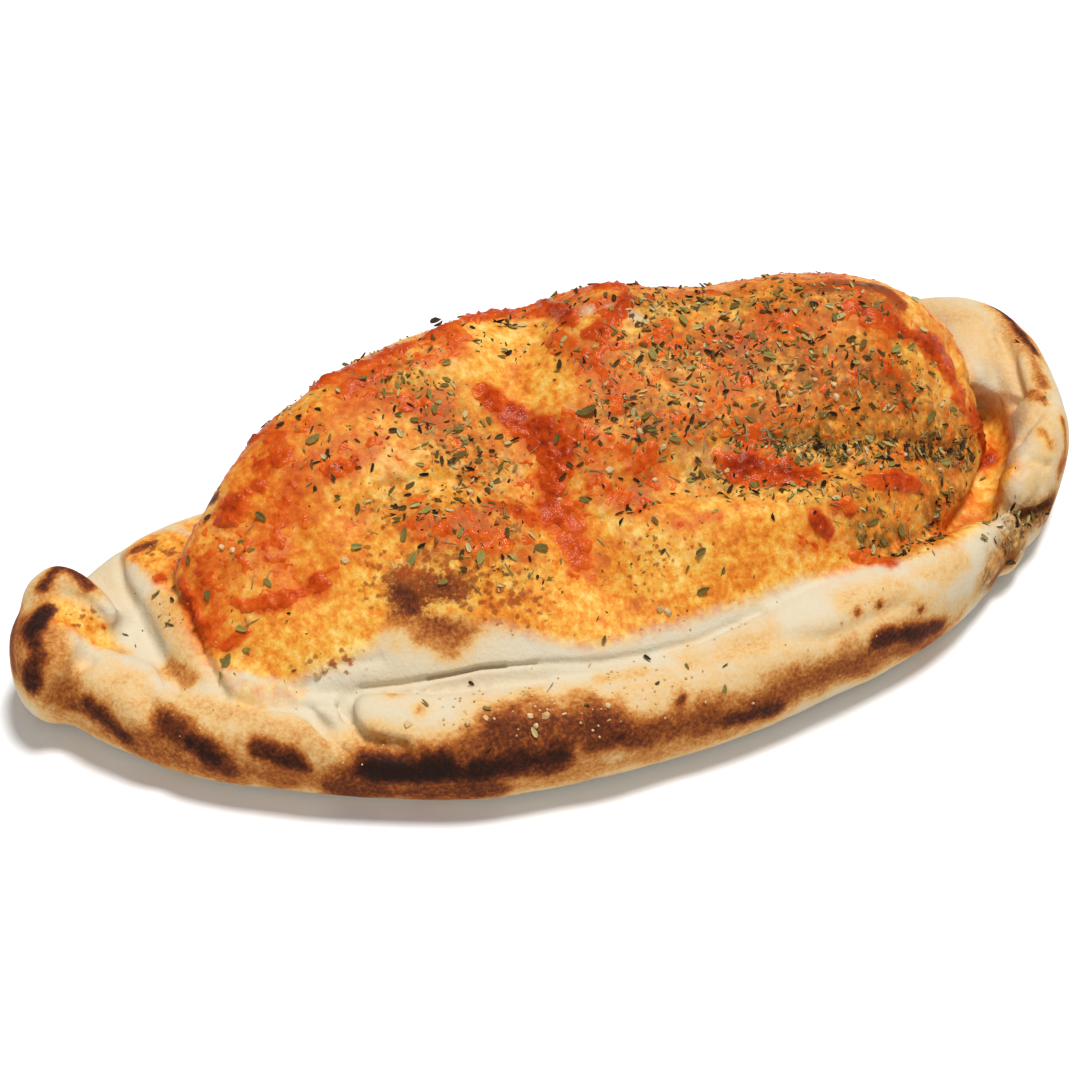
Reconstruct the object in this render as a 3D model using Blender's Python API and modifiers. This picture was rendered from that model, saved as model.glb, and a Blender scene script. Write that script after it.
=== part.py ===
"""A baked calzone: a half-moon of pizza dough, folded at the back, with a rolled rim in front.

The filled top flap swells into a dome with valleys across it. The rim is a roll of dough that
runs along the front, stands up as a thin wall round a pocket at the right end, and is folded
over into an ear at the left end. Dried herb flakes are fused to the top. It rests on a flat
underside. +X runs from the ear to the pocket, -Y is the rolled front, +Z is up.
"""

import math
import random

import bmesh
import bpy
import numpy as np
from mathutils import Matrix, Vector
from mathutils.bvhtree import BVHTree

MM = 0.001

# Mesh fineness, in millimetres.
ROUGH_VOXEL = 2.6
FILLET = 2.2
BODY_TRIANGLES = 6200

# The middle of the outline in plan, in millimetres: the finished part is moved by it to the origin.
CENTRE = (10.4, 0.2)

# Herb flakes fused to the top: how many, the gap between them and their smallest and largest length.
FLAKES = 110
FLAKE_GAP = 6
FLAKE_LENGTHS = (2.8, 5.2)
SEED = 11

# The rolled rim's centre line from the ear to the pocket: x, y, z, half width, half height.
RIM = [
    (-132, 14, 14, 8, 12),
    (-125, 2.5, 13.5, 10.5, 13),
    (-109, -15.5, 12, 12, 12),
    (-86.5, -32, 12.5, 12.5, 12.5),
    (-62, -44.5, 13, 13, 13),
    (-37, -54, 13.5, 13.5, 13.5),
    (-8, -58, 13.5, 13.5, 13.5),
    (22, -59, 14, 13, 14.5),
    (50, -56, 15.5, 13, 16.5),
    (76, -51, 15.5, 13, 16.5),
    (98, -46, 15, 11, 15.5),
    (112, -41, 14, 9, 14),
    (123, -36.5, 13, 7.5, 12.5),
]

# The wall that stands round the pocket, from its front end to the back: the same columns.
WALL = [
    (131, -34, 14, 6.5, 12.5),
    (140, -23, 15, 8, 14.5),
    (148.5, -10.5, 18, 9.5, 17),
    (152, 1, 18.5, 11.5, 17.5),
    (154, 14, 19, 12.5, 18),
    (153.5, 28, 20.5, 13, 18),
    (149.5, 39, 20, 12.5, 17.5),
    (138, 50, 18, 10.5, 15.5),
    (121, 58.5, 14.5, 8.5, 13),
    (102, 64, 11, 6, 9),
]

# The top flap, by stations along x: x, front edge y, ridge y, back edge y, height.
DOME_ENDS = (-101, 137)
DOME_END_POWER = 2.6
DOME_MIDDLE_Y = 12
DOME_EDGE_Z = 24
DOME_STATIONS = [
    (-101, -50, 24, 40, 50),
    (-75, -42, 36, 54, 61),
    (-50, -44, 42, 64, 65.5),
    (-25, -48, 45, 70, 67),
    (5, -54, 44, 72, 69),
    (35, -54, 42, 72, 71),
    (65, -52, 33, 69, 67.5),
    (100, -46, 26, 66, 74),
    (137, -36, 20, 56, 76),
]

# Swellings of the filling under the flap: x, y, reach along x, reach along y, height.
HUMPS = [
    (-28, -14, 20, 14, 5),
    (64, -31, 36, 10, 6),
    (104, 14, 22, 20, 5),
    (40, 34, 16, 14, 1.5),
    (-60, 24, 20, 22, 1.5),
]

# Valleys across the flap: the line they follow, their half width and their depth.
VALLEYS = [
    ([(20, 50), (7, 34), (0, 20), (-2, 4), (0, -12), (5, -30)], 11, 6.5),
    ([(22, -12), (50, -17), (84, -18), (122, -20)], 7, 5),
    ([(-52, 2), (-30, 4), (-6, -2)], 5, 2.5),
    ([(-84, 24), (-70, 10), (-66, -8)], 8, 2),
]

# Pinches, twists and fold lines in the rim and the ears: the line, its half width and its depth.
CREASES = [
    ([(-142, -3, 12), (-134, 1, 22), (-128, 4, 26)], 2.6, 3.2),
    ([(-117, -13, 25), (-116, -23, 20), (-118, -28, 12)], 3, 1.6),
    ([(-84, -30, 25), (-76, -43, 25), (-68, -52, 23), (-60, -57, 21)], 2.4, 2.4),
    ([(-67, -35, 25), (-72, -43, 25), (-70, -50, 24), (-63, -56, 21)], 2.2, 2),
    ([(18, -60, 28), (33, -59, 30), (57, -64, 27), (80, -60, 27)], 2.5, 1.5),
    ([(151, 29, 37), (147, 20, 37), (146, 15, 34), (146, 11, 30)], 1.8, 2),
    ([(-109, 44, 24), (-110, 27, 24), (-110, 13, 25), (-109, 0, 23), (-108, -14, 24)], 2.2, 1.6),
    ([(-50, -40, 26), (-39, -41, 26), (-28, -44, 27), (-16, -46, 28)], 1.8, 2.4),
    ([(122, -28, 19), (129, -35, 23), (137, -37, 21)], 2, 1.6),
]

# Where the herbs lie thick: x, y, reach along x, reach along y, share.
HERB_PATCHES = [
    (62, 12, 44, 26, 1),
    (98, 2, 26, 26, 1),
    (40, 40, 50, 18, 0.8),
    (-38, 20, 34, 24, 0.45),
    (-12, -16, 26, 16, 0.35),
    (122, -44, 10, 10, 0.3),
    (-85, 10, 22, 24, 0.12),
]

# The base under it all, by stations along x: x, front y, back y, height.
BASE_ENDS = (-136, 158)
BASE_STATIONS = [
    (-136, -20, 48, 24),
    (-110, -30, 60, 23),
    (-60, -52, 64, 21),
    (10, -60, 68, 18),
    (90, -50, 67, 18),
    (130, -44, 60, 19),
    (158, -34, 52, 19),
]


def spline(points, share):
    """Points of a Catmull-Rom curve through the given points, at shares from 0 to 1 of its stations."""
    p = np.array(points, float)
    p = np.vstack([2 * p[0] - p[1], p, 2 * p[-1] - p[-2]])
    at = np.clip(share, 0, 1) * (len(points) - 1)
    i = np.minimum(at.astype(int), len(points) - 2)
    t = (at - i)[:, None]
    a, b, c, d = p[i], p[i + 1], p[i + 2], p[i + 3]
    return 0.5 * (2 * b + (c - a) * t + (2 * a - 5 * b + 4 * c - d) * t**2 + (3 * b - a - 3 * c + d) * t**3)


def stations_at(x, stations):
    """The stations' other columns, smoothly interpolated at each x."""
    table = np.array(stations, float)
    share = np.interp(x, table[:, 0], np.linspace(0, 1, len(table)))
    return spline(table, share)[:, 1:]


def distance_to_line(x, y, line):
    """The distance in plan from each point to a line of straight runs."""
    nearest = np.full(len(x), 1e9)
    for (ax, ay), (bx, by) in zip(line, line[1:]):
        dx, dy = bx - ax, by - ay
        t = np.clip(((x - ax) * dx + (y - ay) * dy) / (dx * dx + dy * dy), 0, 1)
        nearest = np.minimum(nearest, np.hypot(x - ax - t * dx, y - ay - t * dy))
    return nearest


def signed_power(value, power):
    return np.sign(value) * np.abs(value) ** power


def lofted(name, rings, segments, place):
    """A closed soft form: a sphere whose rings are the sections from one end to the other.

    place(s, t) gives the millimetre positions for a share s along it and an angle t round it.
    """
    mesh = bpy.data.meshes.new(name)
    bm = bmesh.new()
    bmesh.ops.create_uvsphere(bm, u_segments=segments, v_segments=rings, radius=1)
    bm.to_mesh(mesh)
    bm.free()
    unit = np.zeros(len(mesh.vertices) * 3)
    mesh.vertices.foreach_get("co", unit)
    unit = unit.reshape(-1, 3)
    s = np.arccos(np.clip(-unit[:, 2], -1, 1)) / math.pi
    t = np.arctan2(unit[:, 1], unit[:, 0])
    mesh.vertices.foreach_set("co", (np.column_stack(place(s, t)) * MM).ravel())
    outward = bmesh.new()
    outward.from_mesh(mesh)
    bmesh.ops.recalc_face_normals(outward, faces=outward.faces)
    outward.to_mesh(mesh)
    outward.free()
    made = bpy.data.objects.new(name, mesh)
    bpy.context.scene.collection.objects.link(made)
    return made


def dome_surface(s, t):
    """The swollen top flap, section by section along x."""
    left, right = DOME_ENDS
    middle, half = (left + right) / 2, (right - left) / 2
    u = -np.cos(s * math.pi)
    x = middle + half * u
    front, ridge, back, top = stations_at(x, DOME_STATIONS).T
    taper = (1 - np.abs(u) ** DOME_END_POWER).clip(0) ** (1 / DOME_END_POWER)
    front, ridge, back = (DOME_MIDDLE_Y + (edge - DOME_MIDDLE_Y) * taper for edge in (front, ridge, back))
    top = DOME_EDGE_Z + (top - DOME_EDGE_Z) * taper**0.8
    below = (DOME_EDGE_Z - 3) * taper
    c, r = np.cos(t), np.sin(t)
    power = np.where(c < 0, 2 / 1.35, 2 / 2.1)
    power = np.where(r < 0, 2 / 2.2, power)
    reach = np.where(c < 0, ridge - front, back - ridge)
    rise = np.where(r < 0, below, top - DOME_EDGE_Z)
    y = ridge + reach * signed_power(c, power)
    z = DOME_EDGE_Z + rise * signed_power(r, power)
    weight = np.clip(r * 2, 0, 1)
    for hx, hy, rx, ry, height in HUMPS:
        z = z + weight * height * np.exp(-(((x - hx) / rx) ** 2) - ((y - hy) / ry) ** 2)
    for line, width, depth in VALLEYS:
        z = z - weight * depth * np.exp(-((distance_to_line(x, y, line) / width) ** 2))
    return x, y, z


def base_surface(s, t):
    """The flat underside flap, a low slab inside the rim."""
    left, right = BASE_ENDS
    middle, half = (left + right) / 2, (right - left) / 2
    u = -np.cos(s * math.pi)
    x = middle + half * u
    front, back, top = stations_at(x, BASE_STATIONS).T
    taper = (1 - np.abs(u) ** 3).clip(0) ** (1 / 3)
    centre = (front + back) / 2
    y = centre + (back - front) / 2 * taper * signed_power(np.cos(t), 2 / 5)
    z = top / 2 + top / 2 * (0.4 + 0.6 * taper) * signed_power(np.sin(t), 2 / 5)
    return x, y, z


def roll(line):
    """The surface of a roll of dough along a line of centres with half widths and half heights."""

    def surface(s, t):
        x, y, z, width, height = spline(line, s).T
        ahead = spline(line, np.clip(s + 0.004, 0, 1)) - spline(line, np.clip(s - 0.004, 0, 1))
        run = ahead[:, :2] / np.linalg.norm(ahead[:, :2], axis=1)[:, None]
        end = (1 - np.abs(2 * s - 1) ** 24).clip(0) ** 0.5
        out = width * end * signed_power(np.cos(t), 0.9)
        return x + out * run[:, 1], y - out * run[:, 0], z + height * end * signed_power(np.sin(t), 0.9)

    return surface


def lump(name, centre, radii, turn_deg=0, tilt_deg=0, square=1):
    """An egg of dough at a place, turned in plan and tilted along its length; square under 1 fills its corners."""

    def egg(s, t):
        ring = signed_power(np.sin(s * math.pi), square)
        ends = -signed_power(np.cos(s * math.pi), square)
        return (
            radii[0] * ring * signed_power(np.cos(t), square),
            radii[1] * ring * signed_power(np.sin(t), square),
            radii[2] * ends,
        )

    made = lofted(name, 32, 48, egg)
    turn = Matrix.Rotation(math.radians(turn_deg), 4, "Z")
    tilt = Matrix.Rotation(math.radians(tilt_deg), 4, "Y")
    made.data.transform(Matrix.Translation(Vector(centre) * MM) @ turn @ tilt)
    return made


def ears():
    """The folded-over ear at the left end and the curled corner at the right end."""
    return [
        lump("ear_knob", (-134, 16, 16), (12, 17, 16), turn_deg=-8, square=0.9),
        lump("ear_top", (-128.5, 27, 22), (11, 13, 12), turn_deg=-8),
        lump("ear_lip", (-123, 24, 29), (13.5, 5, 6), turn_deg=-60, tilt_deg=6),
        lump("shoulder", (-85, 11, 13.5), (25, 41, 17), turn_deg=10, square=0.6),
        lump("corner_back", (150, 25, 29), (7, 15, 10), turn_deg=-28),
        lump("corner_front", (156, 13, 28), (5.5, 13, 10), turn_deg=-29),
        lump("wall_end", (133.5, -27, 24), (8, 6, 9.5), turn_deg=45),
        lump("step", (129, -31.5, 11), (8, 5.5, 9), turn_deg=45),
    ]


def joined(name, pieces):
    """One object that holds copies of all the pieces' faces."""
    bm = bmesh.new()
    for piece in pieces:
        bm.from_mesh(piece.data)
        bpy.data.objects.remove(piece)
    mesh = bpy.data.meshes.new(name)
    bm.to_mesh(mesh)
    bm.free()
    made = bpy.data.objects.new(name, mesh)
    bpy.context.scene.collection.objects.link(made)
    return made


def apply_modifiers(piece):
    """The piece with its modifiers worked into its mesh."""
    graph = bpy.context.evaluated_depsgraph_get()
    mesh = bpy.data.meshes.new_from_object(piece.evaluated_get(graph))
    piece.modifiers.clear()
    piece.data = mesh


def remesh(piece, voxel):
    modifier = piece.modifiers.new("skin", "REMESH")
    modifier.mode = "VOXEL"
    modifier.voxel_size = voxel * MM
    apply_modifiers(piece)


def swell(piece, distance):
    modifier = piece.modifiers.new("swell", "DISPLACE")
    modifier.strength = distance * MM
    modifier.mid_level = 0
    apply_modifiers(piece)


def relax(piece, factor, times):
    modifier = piece.modifiers.new("relax", "SMOOTH")
    modifier.factor = factor
    modifier.iterations = times
    apply_modifiers(piece)


def filleted(piece, voxel, radius):
    """Fills the inner corners where lobes of the same dough meet."""
    remesh(piece, voxel)
    swell(piece, radius)
    remesh(piece, voxel)
    swell(piece, -radius)


def press_creases(piece):
    """Draws the skin in along the fold lines of the rim and the ears."""
    mesh = piece.data
    count = len(mesh.vertices)
    points, normals = np.zeros(count * 3), np.zeros(count * 3)
    mesh.vertices.foreach_get("co", points)
    mesh.vertices.foreach_get("normal", normals)
    points, normals = points.reshape(-1, 3), normals.reshape(-1, 3)
    for line, width, depth in CREASES:
        nearest = np.full(count, 1e9)
        for start, end in zip(np.array(line) * MM, np.array(line[1:]) * MM):
            run = end - start
            share = np.clip((points - start) @ run / (run @ run), 0, 1)
            nearest = np.minimum(nearest, np.linalg.norm(points - start - share[:, None] * run, axis=1))
        points = points - normals * (depth * MM * np.exp(-((nearest / (width * MM)) ** 2)))[:, None]
    mesh.vertices.foreach_set("co", points.ravel())
    mesh.update()


def cut_flat(piece):
    """Cuts the underside off flat at z = 0."""
    bm = bmesh.new()
    bm.from_mesh(piece.data)
    bmesh.ops.bisect_plane(
        bm, geom=bm.verts[:] + bm.edges[:] + bm.faces[:], dist=1e-6, plane_co=(0, 0, 0), plane_no=(0, 0, 1), clear_inner=True
    )
    open_edges = [e for e in bm.edges if e.is_boundary]
    bmesh.ops.edgeloop_fill(bm, edges=open_edges)
    bm.to_mesh(piece.data)
    bm.free()


def dough(voxel, fillet):
    """The whole body of dough, in one skin."""
    rolls = [lofted("rim", 160, 28, roll(RIM)), lofted("wall", 90, 28, roll(WALL))]
    shell = joined("shell", [lofted("base", 60, 48, base_surface), *rolls, *ears()])
    filleted(shell, voxel, fillet)
    body = joined("calzone", [shell, lofted("dome", 120, 96, dome_surface)])
    remesh(body, voxel)
    relax(body, 0.5, 2)
    press_creases(body)
    return body


def herb_share(x, y):
    """How thick the herbs lie at a place in plan, from 0 to 1."""
    return max(share * math.exp(-(((x - px) / rx) ** 2) - ((y - py) / ry) ** 2) for px, py, rx, ry, share in HERB_PATCHES)


def herb_flake(length, normal, place, rng):
    """One dried leaf scrap: a flat pointed lozenge lying a little askew in the skin."""
    bm = bmesh.new()
    bmesh.ops.create_icosphere(bm, subdivisions=1, radius=1)
    mesh = bpy.data.meshes.new("flake")
    bm.to_mesh(mesh)
    bm.free()
    lie = normal.to_track_quat("Z", "Y").to_matrix().to_4x4()
    turn = Matrix.Rotation(rng.uniform(0, math.tau), 4, "Z")
    tilt = Matrix.Rotation(math.radians(rng.uniform(-22, 22)), 4, "X")
    size = Matrix.Diagonal((length / 2 * MM, length * rng.uniform(0.22, 0.36) * MM, 0.75 * MM, 1))
    mesh.transform(Matrix.Translation(place + normal * 0.45 * MM) @ lie @ turn @ tilt @ size)
    return bpy.data.objects.new("flake", mesh)


def scatter_flakes(piece):
    """The herb flakes, in a collection of their own, spread thickest where the herbs are."""
    rng = random.Random(SEED)
    skin = BVHTree.FromObject(piece, bpy.context.evaluated_depsgraph_get())
    flakes = bpy.data.collections.new("flakes")
    bpy.context.scene.collection.children.link(flakes)
    taken = []
    while len(taken) < FLAKES:
        x, y = rng.uniform(-115, 135), rng.uniform(-62, 70)
        if rng.random() > herb_share(x, y):
            continue
        place, normal, _, _ = skin.ray_cast(Vector((x, y, 200)) * MM, Vector((0, 0, -1)))
        if place is None or normal.z < 0.45 or any((place - other).length < FLAKE_GAP * MM for other in taken):
            continue
        short, long = FLAKE_LENGTHS
        length = short + (long - short) * rng.random() ** 2
        flakes.objects.link(herb_flake(length, normal, place, rng))
        taken.append(place)
    return flakes


def fuse(piece, toppings):
    """Joins every object of the collection to the piece and removes them."""
    union = piece.modifiers.new("fused", "BOOLEAN")
    union.operation = "UNION"
    union.operand_type = "COLLECTION"
    union.collection = toppings
    union.solver = "MANIFOLD"
    apply_modifiers(piece)
    for topping in list(toppings.objects):
        bpy.data.objects.remove(topping)
    bpy.data.collections.remove(toppings)


def baked_dough():
    material = bpy.data.materials.new("baked_dough")
    material.use_nodes = True
    shader = material.node_tree.nodes["Principled BSDF"]
    shader.inputs["Base Color"].default_value = (0.62, 0.36, 0.15, 1)
    shader.inputs["Roughness"].default_value = 0.6
    shader.inputs["Metallic"].default_value = 0
    return material


def main():
    for old in list(bpy.data.objects):
        bpy.data.objects.remove(old)
    body = dough(ROUGH_VOXEL, FILLET)
    fewer = body.modifiers.new("fewer", "DECIMATE")
    fewer.ratio = BODY_TRIANGLES / (2 * len(body.data.polygons))
    apply_modifiers(body)
    cut_flat(body)
    fuse(body, scatter_flakes(body))
    body.data.transform(Matrix.Translation(Vector((-CENTRE[0], -CENTRE[1], 0)) * MM))
    body.data.materials.clear()
    body.data.materials.append(baked_dough())
    body.data.shade_smooth()
    home = bpy.data.collections.new("calzone")
    bpy.context.scene.collection.children.link(home)
    bpy.context.scene.collection.objects.unlink(body)
    home.objects.link(body)


main()
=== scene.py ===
import math
import random

import bmesh
import bpy
import numpy as np
from mathutils import Matrix, Vector, noise
from mathutils.bvhtree import BVHTree


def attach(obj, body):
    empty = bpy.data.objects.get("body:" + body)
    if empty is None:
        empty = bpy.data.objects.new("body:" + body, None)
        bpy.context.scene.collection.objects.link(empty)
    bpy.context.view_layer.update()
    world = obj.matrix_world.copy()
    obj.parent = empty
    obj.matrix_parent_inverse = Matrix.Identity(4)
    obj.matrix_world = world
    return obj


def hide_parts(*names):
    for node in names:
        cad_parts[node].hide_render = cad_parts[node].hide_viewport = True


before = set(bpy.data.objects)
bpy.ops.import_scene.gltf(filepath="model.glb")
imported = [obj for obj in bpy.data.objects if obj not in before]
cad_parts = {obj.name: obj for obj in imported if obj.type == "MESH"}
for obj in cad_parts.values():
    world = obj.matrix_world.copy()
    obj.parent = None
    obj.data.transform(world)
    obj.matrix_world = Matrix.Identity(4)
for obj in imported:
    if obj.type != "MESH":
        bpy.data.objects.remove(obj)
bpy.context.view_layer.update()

scene = bpy.context.scene
scene.view_settings.view_transform = "Standard"
MM = 0.001

# Camera. The calzone is seen from its rolled front, turned a little to the left and from 42 degrees
# above the table, filling the 1080 by 1080 frame from side to side.
AZIMUTH, ELEVATION = math.radians(-22), math.radians(42)
DISTANCE, FRAME_WIDTH, FRAME_PIXELS = 0.9, 0.296, 1080
LOOK_AT = Vector((-0.0104, -0.0002, 0.028))
BACK = Vector((
    math.sin(AZIMUTH) * math.cos(ELEVATION),
    -math.cos(AZIMUTH) * math.cos(ELEVATION),
    math.sin(ELEVATION),
))


def linked(name, data):
    made = bpy.data.objects.new(name, data)
    scene.collection.objects.link(made)
    return made


camera = linked("camera", bpy.data.cameras.new("camera"))
camera.location = LOOK_AT + BACK * DISTANCE
camera.rotation_euler = (-BACK).to_track_quat("-Z", "Y").to_euler()
camera.data.lens = camera.data.sensor_width * DISTANCE / FRAME_WIDTH
camera.data.clip_start = 0.01
scene.camera = camera


def sight_line(px, py):
    """The direction in which the camera sees a pixel of its frame."""
    turn = (-BACK).to_track_quat("-Z", "Y")
    half = FRAME_WIDTH / 2 / DISTANCE
    right, up = (px / FRAME_PIXELS * 2 - 1) * half, (1 - py / FRAME_PIXELS * 2) * half
    return (turn @ Vector((right, up, -1))).normalized()


# Dough. One piece of bread dough, folded at the back over its filling: a domed top flap, a base, a roll
# of dough along the front, a thin wall round the pocket at the right and a folded ear at the left. The
# forms are lofted from sections, grown into one skin and then given the uneven surface of baked dough.
CENTRE = (10.4, 0.2)
VOXEL, FILLET = 1.25, 2.2
SMOOTH_SHARE, SMOOTH_ROUNDS = 0.5, 6
ROLL_END_POWER, ROLL_SQUARE, ROLL_STEP = 24, 0.9, 0.004
LUMP_RINGS, LUMP_SEGMENTS = 32, 48

# The rolled rim and the pocket's wall: x, y, z, half width, half height, in millimetres.
RIM = [
    (-132, 14, 14, 8, 12), (-125, 2.5, 13.5, 10.5, 13), (-109, -15.5, 12, 12, 12),
    (-86.5, -32, 12.5, 12.5, 12.5), (-62, -44.5, 13, 13, 13), (-37, -54, 13.5, 13.5, 13.5),
    (-8, -58, 13.5, 13.5, 13.5), (22, -59, 14, 13, 14.5), (50, -56, 15.5, 13, 16.5),
    (76, -51, 15.5, 13, 16.5), (98, -45.6, 15, 10.6, 15.5), (112, -39.8, 14, 8.2, 13.8),
    (123, -34.2, 13, 6.8, 12.5),
]
WALL = [
    (131, -31.5, 14, 6, 12.5), (139.2, -22, 15, 7.6, 14.5), (149.5, -10.5, 18, 8.5, 17),
    (154, 1, 18.5, 9.5, 17.5), (156, 14, 19, 10.5, 18), (155, 28, 20.5, 11.5, 18),
    (149.5, 39, 20, 12.5, 17.5), (138, 50, 18, 10.5, 15.5), (121, 58.5, 14.5, 8.5, 13),
    (102, 64, 11, 6, 9),
]

# The top flap by stations along x: x, front edge y, ridge y, back edge y, height.
DOME_ENDS, DOME_END_POWER, DOME_MIDDLE_Y, DOME_EDGE_Z = (-101, 137), 2.6, 12, 24
DOME_TOP_TAPER, DOME_UNDER = 0.8, 3
DOME_BELOW, DOME_FRONT, DOME_BACK = 2 / 2.2, 2 / 1.35, 2 / 2.1
DOME_STATIONS = [
    (-101, -50, 24, 40, 50), (-75, -42, 36, 54, 61), (-50, -44, 42, 64, 65.5), (-25, -48, 45, 70, 67),
    (5, -54, 44, 72, 69), (35, -54, 42, 72, 71), (65, -52, 33, 69, 67.5), (100, -46, 26, 66, 74),
    (137, -36, 20, 56, 76),
]
# Swellings of the top flap: x, y, half length, half width, height.
HUMPS = [
    (-28, -14, 20, 14, 5), (64, -31, 36, 10, 6), (104, 14, 22, 20, 5), (40, 34, 16, 14, 1.5),
    (-60, 24, 20, 22, 1.5),
]
# Hollows across it: a line in plan, its half width, its depth.
VALLEYS = [
    ([(20, 50), (7, 34), (0, 20), (-2, 4), (0, -12), (5, -30)], 11, 6.5),
    ([(22, -12), (50, -17), (84, -18), (122, -20)], 7, 5), ([(-52, 2), (-30, 4), (-6, -2)], 5, 2.5),
    ([(-84, 24), (-70, 10), (-66, -8)], 8, 2),
]
# The base by stations along x: x, front edge y, back edge y, height.
BASE_ENDS, BASE_END_POWER, BASE_SQUARE = (-136, 158), 3, 2 / 5
BASE_END_HEIGHT = 0.4
BASE_STATIONS = [
    (-136, -20, 48, 24), (-110, -30, 60, 23), (-60, -52, 64, 21), (10, -60, 68, 18), (90, -50, 67, 18),
    (130, -44, 60, 19), (158, -34, 52, 19),
]
# Folds in the dough's own form: a line, its half width, its depth.
CREASES = [
    ([(-142, -3, 12), (-134, 1, 22), (-128, 4, 26)], 2.6, 3.2),
    ([(-117, -13, 25), (-116, -23, 20), (-118, -28, 12)], 3, 1.6),
    ([(-84, -30, 25), (-76, -43, 25), (-68, -52, 23), (-60, -57, 21)], 2.4, 2.4),
    ([(-67, -35, 25), (-72, -43, 25), (-70, -50, 24), (-63, -56, 21)], 2.2, 2),
    ([(18, -60, 28), (33, -59, 30), (57, -64, 27), (80, -60, 27)], 2.5, 1.5),
    ([(151, 29, 37), (147, 20, 37), (146, 15, 34), (146, 11, 30)], 1.8, 2),
    ([(-109, 44, 24), (-110, 27, 24), (-110, 13, 25), (-109, 0, 23), (-108, -14, 24)], 2.2, 1.6),
    ([(124, -24, 21), (130, -29, 25), (137, -31, 24)], 2, 1.2),
]


def spline(points, share):
    """Points of a Catmull-Rom curve through the given points, at shares from 0 to 1 of its stations."""
    p = np.array(points, float)
    p = np.vstack([2 * p[0] - p[1], p, 2 * p[-1] - p[-2]])
    at = np.clip(share, 0, 1) * (len(points) - 1)
    i = np.minimum(at.astype(int), len(points) - 2)
    t = (at - i)[:, None]
    a, b, c, d = p[i], p[i + 1], p[i + 2], p[i + 3]
    return 0.5 * (2 * b + (c - a) * t + (2 * a - 5 * b + 4 * c - d) * t**2 + (3 * b - a - 3 * c + d) * t**3)


def stations_at(x, stations):
    """The stations' other columns, smoothly interpolated at each x."""
    table = np.array(stations, float)
    share = np.interp(x, table[:, 0], np.linspace(0, 1, len(table)))
    return spline(table, share)[:, 1:]


def distance_to_line(points, line):
    """The distance from each point to a line of straight runs, in plan or in space."""
    points, line = np.asarray(points, float), np.array(line, float)
    if len(line) == 1:
        return np.linalg.norm(points - line[0], axis=1)
    nearest = np.full(len(points), 1e9)
    for start, end in zip(line, line[1:]):
        run = end - start
        share = np.clip((points - start) @ run / (run @ run), 0, 1)
        nearest = np.minimum(nearest, np.linalg.norm(points - start - share[:, None] * run, axis=1))
    return nearest


def signed_power(value, power):
    return np.sign(value) * np.abs(value) ** power


def coordinates(mesh, name="co"):
    values = np.zeros(len(mesh.vertices) * 3)
    mesh.vertices.foreach_get(name, values)
    return values.reshape(-1, 3)


def as_mesh(bm, name):
    mesh = bpy.data.meshes.new(name)
    bm.to_mesh(mesh)
    bm.free()
    return mesh


def lofted(name, rings, segments, place):
    """A sphere whose rings become the sections of a soft closed form; place(s, t) gives millimetres."""
    bm = bmesh.new()
    bmesh.ops.create_uvsphere(bm, u_segments=segments, v_segments=rings, radius=1)
    mesh = as_mesh(bm, name)
    unit = coordinates(mesh)
    s = np.arccos(np.clip(-unit[:, 2], -1, 1)) / math.pi
    t = np.arctan2(unit[:, 1], unit[:, 0])
    mesh.vertices.foreach_set("co", (np.column_stack(place(s, t)) * MM).ravel())
    outward = bmesh.new()
    outward.from_mesh(mesh)
    bmesh.ops.recalc_face_normals(outward, faces=outward.faces)
    outward.to_mesh(mesh)
    outward.free()
    return linked(name, mesh)


def along(s, ends, power):
    """The x of each section between two ends, and how wide it is there, rounding off toward the ends."""
    left, right = ends
    u = -np.cos(s * math.pi)
    x = (left + right) / 2 + (right - left) / 2 * u
    return x, (1 - np.abs(u) ** power).clip(0) ** (1 / power)


def dome_surface(s, t):
    x, taper = along(s, DOME_ENDS, DOME_END_POWER)
    front, ridge, back, top = stations_at(x, DOME_STATIONS).T
    front, ridge, back = (DOME_MIDDLE_Y + (edge - DOME_MIDDLE_Y) * taper for edge in (front, ridge, back))
    top = DOME_EDGE_Z + (top - DOME_EDGE_Z) * taper**DOME_TOP_TAPER
    below = (DOME_EDGE_Z - DOME_UNDER) * taper
    c, r = np.cos(t), np.sin(t)
    power = np.where(r < 0, DOME_BELOW, np.where(c < 0, DOME_FRONT, DOME_BACK))
    y = ridge + np.where(c < 0, ridge - front, back - ridge) * signed_power(c, power)
    z = DOME_EDGE_Z + np.where(r < 0, below, top - DOME_EDGE_Z) * signed_power(r, power)
    weight = np.clip(r * 2, 0, 1)
    for hx, hy, rx, ry, height in HUMPS:
        z = z + weight * height * np.exp(-(((x - hx) / rx) ** 2) - ((y - hy) / ry) ** 2)
    for line, width, depth in VALLEYS:
        near = distance_to_line(np.column_stack((x, y)), line) / width
        z = z - weight * depth * np.exp(-(near**2))
    return x, y, z


def base_surface(s, t):
    x, taper = along(s, BASE_ENDS, BASE_END_POWER)
    front, back, top = stations_at(x, BASE_STATIONS).T
    thinner = BASE_END_HEIGHT + (1 - BASE_END_HEIGHT) * taper
    y = (front + back) / 2 + (back - front) / 2 * taper * signed_power(np.cos(t), BASE_SQUARE)
    z = top / 2 + top / 2 * thinner * signed_power(np.sin(t), BASE_SQUARE)
    return x, y, z


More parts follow.
